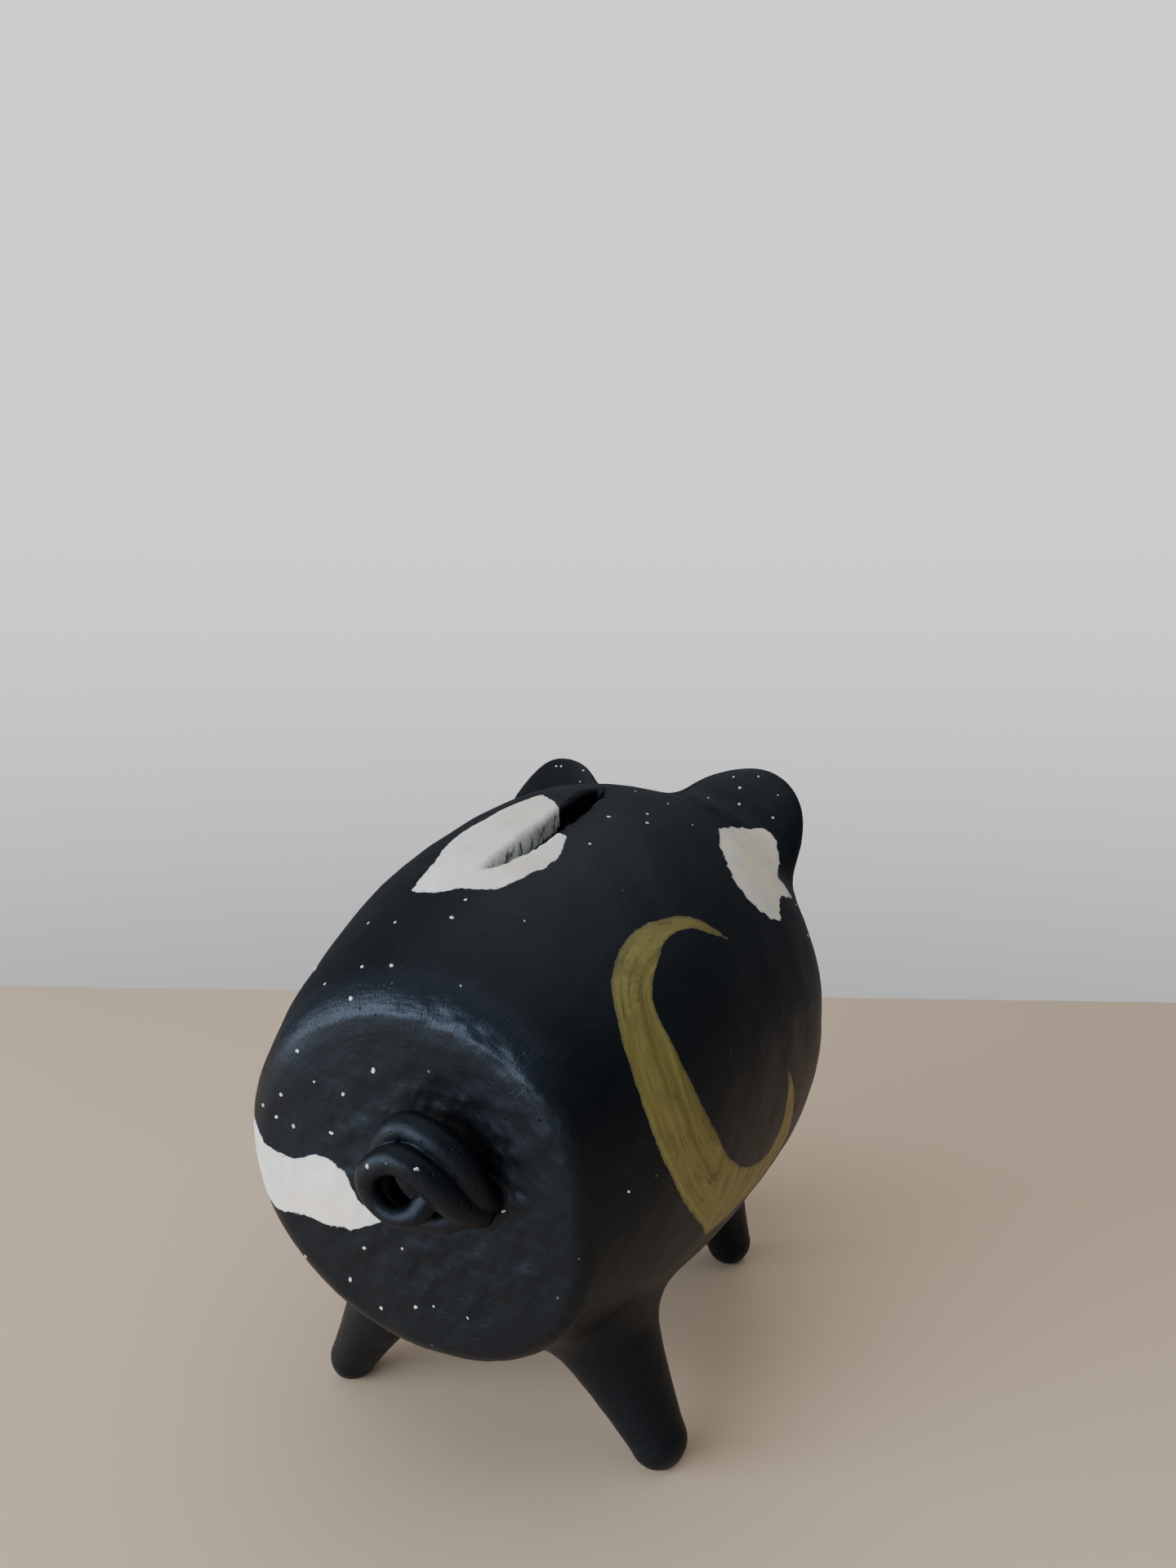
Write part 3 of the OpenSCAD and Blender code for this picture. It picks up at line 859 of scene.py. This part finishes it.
def painted_clay():
    """Matte acrylic over fired clay: near-black, with the cream marks and gold moons over it."""
    n = Nodes("painted_clay")
    unrolled, along, radius, top = barrel_place(n)
    wobble = n.between(n.noise(n.place, 420, 3, 0.6), 0.25, 0.75, -0.45, 0.45)
    hairs = n.noise(n.stretch(unrolled, (260, 1300, 1300)), 1.0, 3, 0.6)
    hatch = n.noise(n.stretch(unrolled, (2200, 420, 420)), 1.0, 3, 0.65)
    blotch = n.noise(n.place, 55, 4, 0.6)
    grain = n.noise(n.place, 1500, 4, 0.65)
    pit_here = n.between(n.noise(n.place, 45, 2, 0.5), 0.52, 0.66)
    pits = n.times(n.between(n.cells(n.place, 520), 0.08, 0.17, 1.0, 0.0, "SMOOTHSTEP"), pit_here)
    at_rim = n.times(n.between(along, 0.004, 0.007, 1.0, 0.0), n.between(radius, 0.0255, 0.0275))
    at_rim = n.times(at_rim, n.between(top, 0.45, 0.7))

    black = black_coat(n, blotch, hairs, at_rim, pits)
    gold, gold_at, streak = gold_coat(n, wobble, pits)
    cream, cream_at = cream_coat(n, along, wobble, pits)
    bare = n.mix(n.between(blotch, 0.3, 0.7), CLAY_DARK, CLAY_RED)
    bare_at = n.between(n.plus(n.value("bare"), n.times(wobble, 2.0)), 0.0, 0.6)
    colour = n.mix(bare_at, n.mix(cream_at, n.mix(gold_at, black, gold), cream), bare)

    worn = n.plus(n.times(blotch, 0.6), n.times(hairs, 0.4))
    rough = n.minus(n.between(worn, 0.3, 0.7, 0.42, 0.54), n.times(at_rim, 0.13))
    rough = n.blend(gold_at, rough, ROUGH_GOLD)
    rough = n.blend(n.most(cream_at, bare_at), rough, ROUGH_CREAM)

    strokes = n.plus(n.times(hatch, n.between(at_rim, 0, 1, 0.2, 1.3)), n.times(hairs, 0.8))
    height = n.minus(n.plus(n.times(grain, 0.30), strokes), n.times(pits, 2.2))
    coat = n.most(cream_at, n.times(gold_at, 0.6))
    height = n.plus(height, n.times(coat, n.plus(1.0, n.times(streak, 0.5))))
    n.shade(base_color=colour, roughness=rough, normal=n.bump(height, COAT_RELIEF))
    n.shade(specular=0.3, specular_tint=rgb(0.67, 0.81, 1.0))
    return n.material


def thick_paint(name, light, dark, pupil=None):
    """Thick opaque acrylic, as on the star dabs and the eye pellets."""
    n = Nodes(name)
    colour = n.mix(n.between(n.noise(n.place, 900, 3, 0.6), 0.35, 0.7), dark, light)
    if pupil is not None:
        colour = n.mix(n.between(n.value("pupil"), -0.08, 0.08, 1.0, 0.0), colour, pupil)
    n.shade(base_color=colour, roughness=n.between(n.noise(n.place, 1300, 2, 0.5), 0.3, 0.7, 0.45, 0.65),
            normal=n.bump(n.noise(n.place, 1800, 3, 0.6), 0.00008, 0.6))
    return n.material


def rubber():
    """Moulded black rubber with a fine satin texture and a dusting of clay."""
    n = Nodes("stopper_rubber")
    dust = n.between(n.noise(n.place, 90, 5, 0.65), 0.5, 0.8, 0.0, 0.35)
    n.shade(base_color=n.mix(dust, rgb(0.012, 0.012, 0.013), rgb(0.07, 0.055, 0.045)),
            roughness=n.between(n.noise(n.place, 700, 3, 0.6), 0.3, 0.7, 0.48, 0.66),
            normal=n.bump(n.noise(n.place, 2600, 3, 0.6), 0.00006, 0.7))
    return n.material


def plain(name, colour, rough):
    n = Nodes(name)
    darker = tuple(0.95 * c for c in colour[:3]) + (1.0,)
    n.shade(base_color=n.mix(n.noise(n.place, 3.0, 3, 0.6), colour, darker), roughness=rough)
    return n.material


PAINTED_CLAY = painted_clay()
EYE_PAINT = thick_paint("eye_paint", rgb(0.78, 0.75, 0.69), rgb(0.66, 0.62, 0.55), rgb(0.012, 0.012, 0.015))
STAR_PAINT = thick_paint("star_paint", rgb(0.82, 0.81, 0.78), rgb(0.70, 0.69, 0.66))


# ---------------------------------------------------------------- clay pieces and stopper
def box_mm(node, margin):
    low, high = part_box(node)
    return np.array(low) / MM - margin, np.array(high) / MM + margin


def add_piece(node, made_of, field, step, margin, material=PAINTED_CLAY,
              body="pig"):
    """The visual piece of a CAD node, meshed inside its box and a margin round it."""
    piece = clay_mesh(node + "_" + made_of, field, *box_mm(node, margin), step)
    piece.data.materials.append(material)
    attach(piece, body)
    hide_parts(node)
    return piece


add_piece("body_shell", "clay", body_piece, 1.11, 6.0)
add_piece("rear_plate", "clay", plate_piece, 0.6, 3.0)
add_piece("snout_tube", "clay", snout_tube_piece, 0.6, 5.0)
add_piece("snout_plate", "clay", snout_plate_piece, 0.45, 2.0)
for limb in LIMBS:
    if limb is not SNOUT:
        add_piece(limb.node, "clay", limb_piece(limb), limb.step, 2.5 if limb is TAIL else 9.0)

PUPIL_R = 1.7
for node, side in (("eye_left", -1), ("eye_right", 1)):
    pellet = add_piece(node, "clay", eye_piece(side), 0.35, 2.0, EYE_PAINT)
    corners = np.empty(len(pellet.data.vertices) * 3)
    pellet.data.vertices.foreach_get("co", corners)
    gaze = to_barrel(corners.reshape(-1, 3) / MM) - eye_place(side, out=1.8, ahead=3.2, up=1.9)
    set_values(pellet.data, "pupil", np.linalg.norm(gaze, axis=1) - PUPIL_R)

add_piece("belly_stopper", "rubber", stopper_piece, 0.45, 1.5, rubber(), "stopper")


# ---------------------------------------------------------------- star dabs
# On the barrel: distance from the rear face, degrees round from the top, width in mm.
BARREL_STARS = [
    (84.5, 10, 0.5), (83, 19.5, 0.6), (71, 19, 0.7), (62.5, 13, 0.8), (66.5, 21, 0.9), (77.5, 28.5, 0.5),
    (48.5, 15.5, 0.7), (22, 0.5, 0.7), (17, 0.5, 0.9), (16.5, -15.5, 0.7), (19.5, -26.5, 0.6),
    (21, 17, 0.4), (7, -19, 0.7), (6.5, -9, 0.8), (6.5, -32.5, 0.6), (5.5, 13.5, 0.4), (2.5, -20.5, 0.9),
    (7.5, 87.5, 0.6), (17, -46, 1.1),
]
# On the rear face and the tail, in barrel axes: right, up, width.
PLATE_STARS = [
    (-21, 20, 0.8), (-6.5, 18.5, 1.1), (-18, 15, 0.5), (-25, 11.5, 0.8), (-12.5, 13.5, 0.8),
    (-29.5, 8.5, 0.7), (-26.5, 7, 0.8), (-23, 6, 0.8), (-15.5, 6, 0.8), (16.8, -1.5, 0.8),
    (-10.5, -14.5, 0.8), (-3, -13, 0.5), (-23.5, -19.5, 0.7), (-14, -21.5, 0.9), (-8, -25.5, 0.8),
    (-1, -23.5, 0.8), (2.5, -22.5, 0.5), (9, -23, 0.5),
]
TAIL_STARS = [(0, 9.5, 0.8), (8, 10, 0.7)]
# On an ear's back, by side: across from its middle line, along from its centre, width.
EAR_STARS = {
    1: [(-8.5, 20.5, 0.6), (-4, 24.5, 0.6), (-5.5, 18.5, 0.8), (2.5, 23, 0.5), (-9.5, 11, 0.5),
        (-3, 14.5, 0.8), (5, 17, 0.7)],
    -1: [(-5.5, 23, 0.7), (-7, 22, 0.7), (-13, 17, 0.6), (-12.5, 12.5, 0.5)],
}
# How far out the search for the skin starts: from the barrel's axis, behind the rear face, behind an ear.
ROUND_START, REAR_START, EAR_START = 70, 20, 14


def whole_skin(p):
    return clay(p, to_barrel(p), LIMBS)[0]


def land(start, direction):
    """Where a line from outside meets the skin."""
    p = np.atleast_2d(start).astype(float)
    for _ in range(60):
        p = p + direction * 0.9 * whole_skin(p)[:, None]
    return p[0]


def star_places():
    """Each star's place on the skin, and its width. Those out of sight are scattered."""
    places = []
    scattered = [(rng.uniform(8, 128), rng.uniform(-150, -50), rng.uniform(0.5, 0.9)) for _ in range(34)]
    scattered += [(rng.uniform(84, 132), rng.uniform(10, 150), rng.uniform(0.5, 0.8)) for _ in range(16)]
    for y, angle, width in BARREL_STARS + scattered:
        a = math.radians(angle)
        out = np.array([math.sin(a), 0, math.cos(a)])
        axis = from_barrel(np.array([0, y, 0]))[0]
        tip = from_barrel(np.array([0, y, 0]) + ROUND_START * out)[0]
        places.append((land(tip, unit(axis - tip)), width))
    ahead = unit(from_barrel([0, 1, 0])[0] - from_barrel([0, 0, 0])[0])
    for x, z, width in PLATE_STARS + TAIL_STARS:
        places.append((land(from_barrel([x, -REAR_START, z])[0], ahead), width))
    for side, stars in EAR_STARS.items():
        flip = np.array([side, 1, 1])
        for across, along, width in stars:
            start = EAR_CENTRE + across * EAR_W + along * EAR_L - EAR_START * EAR_T
            places.append((land(start * flip, EAR_T * flip), width))
    return places


SPOKES, RINGS = 12, 4
DAB_H = 0.16     # a dab's height, as a share of its width
DAB_RIM = 0.12   # mm that its rim lies under the skin
DAB_ROOT = 0.3   # mm that its underside goes down to


def star_mesh():
    """Each star is a small irregular drop of thick paint, touched on with the tip of a brush."""
    verts, faces = [], []
    for centre, width in star_places():
        normal = unit(slope_of(whole_skin, centre[None])[0])
        side = unit(np.cross(normal, [0.3, 0.2, 1.0]))
        up = np.cross(normal, side)
        turn = rng.uniform(0, math.pi)
        longer = rng.uniform(1.0, 1.7)
        ragged = 1 + 0.12 * rng.normal(size=SPOKES)
        base = len(verts)
        verts.append(centre + normal * DAB_H * width)
        for ring in range(1, RINGS + 1):
            t = ring / RINGS
            for k in range(SPOKES):
                a = 2 * math.pi * k / SPOKES
                u, v = longer * math.cos(a), math.sin(a)
                u, v = (u * math.cos(turn) - v * math.sin(turn), u * math.sin(turn) + v * math.cos(turn))
                spread = t * width / 2 * ragged[k] / math.sqrt(longer)
                lift = DAB_H * width * math.sqrt(1 - t * t) - (DAB_RIM if ring == RINGS else 0)
                verts.append(centre + spread * (u * side + v * up) + lift * normal)
        under = len(verts)
        verts.append(centre - normal * DAB_ROOT)
        for k in range(SPOKES):
            nxt = (k + 1) % SPOKES
            faces.append((base, base + 1 + k, base + 1 + nxt))
            for ring in range(RINGS - 1):
                a = base + 1 + ring * SPOKES
                faces.append((a + k, a + SPOKES + k, a + SPOKES + nxt, a + nxt))
            last = base + 1 + (RINGS - 1) * SPOKES
            faces.append((last + nxt, last + k, under))
    mesh = bpy.data.meshes.new("star_dabs")
    mesh.from_pydata((np.array(verts) * MM).tolist(), [], faces)
    mesh.shade_smooth()
    return mesh


stars = bpy.data.objects.new("star_dabs", star_mesh())
bpy.context.scene.collection.objects.link(stars)
stars.data.materials.append(STAR_PAINT)
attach(stars, "pig")


# ---------------------------------------------------------------- table, light and camera
CAMERA_AT = Vector((0.09746, -0.15664 - MIDDLE_Y * MM, 0.1539))
CAMERA_AHEAD = Vector((-0.38436, 0.91237, -0.14086))
LENS, SENSOR = 27.0, 36.0
TABLE_FAR, TABLE_NEAR, TABLE_HALF, TABLE_T = 0.223, -0.9, 0.9, 0.02
TABLE_TURN = math.radians(2.5)
# The wall behind is darker low down: how low and high the change runs, and how bright it is at each.
WALL_Z, WALL_STRENGTH = (-0.45, 0.15), (0.42, 1.28)
FILL_COLOUR, FILL_STRENGTH = rgb(0.88, 0.94, 1.0), 0.18


def tabletop():
    """A plain pale table. Its far edge lies behind the pig, square to the camera but for a small turn."""
    turn = math.atan2(-CAMERA_AHEAD.x, CAMERA_AHEAD.y) - TABLE_TURN
    half, near, far = TABLE_HALF, TABLE_NEAR, TABLE_FAR
    spots = [(x * math.cos(turn) - y * math.sin(turn), x * math.sin(turn) + y * math.cos(turn))
             for x, y in ((half, near), (half, far), (-half, far), (-half, near))]
    mesh = bpy.data.meshes.new("tabletop")
    verts = [(x, y, z) for z in (0, -TABLE_T) for x, y in spots]
    walls = [(k, k + 4, (k + 1) % 4 + 4, (k + 1) % 4) for k in range(4)]
    mesh.from_pydata(verts, [], [(0, 1, 2, 3), (7, 6, 5, 4)] + walls)
    table = bpy.data.objects.new("tabletop", mesh)
    bpy.context.scene.collection.objects.link(table)
    table.data.materials.append(plain("pale_table", rgb(0.84, 0.63, 0.45), 0.55))
    bevel = table.modifiers.new("edge", "BEVEL")
    bevel.width, bevel.segments = 0.003, 3


def area_light(name, place, target, size, power, colour):
    data = bpy.data.lights.new(name, "AREA")
    data.shape = "RECTANGLE"
    data.size, data.size_y = size
    data.energy = power
    data.color = colour
    lamp = bpy.data.objects.new(name, data)
    bpy.context.scene.collection.objects.link(lamp)
    lamp.location = place
    lamp.rotation_euler = (Vector(target) - Vector(place)).to_track_quat("-Z", "Y").to_euler()
    lamp.visible_camera = False


def room():
    """A pale room as the camera sees it, and a dimmer one as a light."""
    world = bpy.data.worlds.new("room")
    bpy.context.scene.world = world
    world.use_nodes = True
    nodes, links = world.node_tree.nodes, world.node_tree.links
    wall, fill = nodes["Background"], nodes.new("ShaderNodeBackground")
    up, rise = nodes.new("ShaderNodeSeparateXYZ"), nodes.new("ShaderNodeMapRange")
    rise.interpolation_type = "SMOOTHSTEP"
    for socket, value in zip(rise.inputs[1:5], WALL_Z + WALL_STRENGTH):
        socket.default_value = value
    wall.inputs["Color"].default_value = rgb(0.995, 0.998, 1.0)
    fill.inputs["Color"].default_value = FILL_COLOUR
    fill.inputs["Strength"].default_value = FILL_STRENGTH
    seen, mix = nodes.new("ShaderNodeLightPath"), nodes.new("ShaderNodeMixShader")
    links.new(nodes.new("ShaderNodeTexCoord").outputs["Generated"], up.inputs[0])
    links.new(up.outputs["Z"], rise.inputs[0])
    links.new(rise.outputs[0], wall.inputs["Strength"])
    links.new(seen.outputs["Is Camera Ray"], mix.inputs[0])
    links.new(fill.outputs[0], mix.inputs[1])
    links.new(wall.outputs[0], mix.inputs[2])
    links.new(mix.outputs[0], nodes["World Output"].inputs["Surface"])


def add_camera():
    data = bpy.data.cameras.new("camera")
    data.lens = LENS
    data.sensor_width = SENSOR
    camera = bpy.data.objects.new("camera", data)
    bpy.context.scene.collection.objects.link(camera)
    camera.location = CAMERA_AT
    camera.rotation_euler = CAMERA_AHEAD.to_track_quat("-Z", "Y").to_euler()
    bpy.context.scene.camera = camera


tabletop()
room()
# A wide low window behind the camera, and the soft light of a ceiling.
area_light("window", (-0.55, -0.90, 0.31), (0, 0, 0.06), (1.5, 0.38), 20.0, (0.80, 0.90, 1.0))
area_light("ceiling", (0.05, 0.10, 1.30), (0, 0, 0.05), (1.9, 1.9), 10.0, (1.0, 0.99, 0.97))
add_camera()
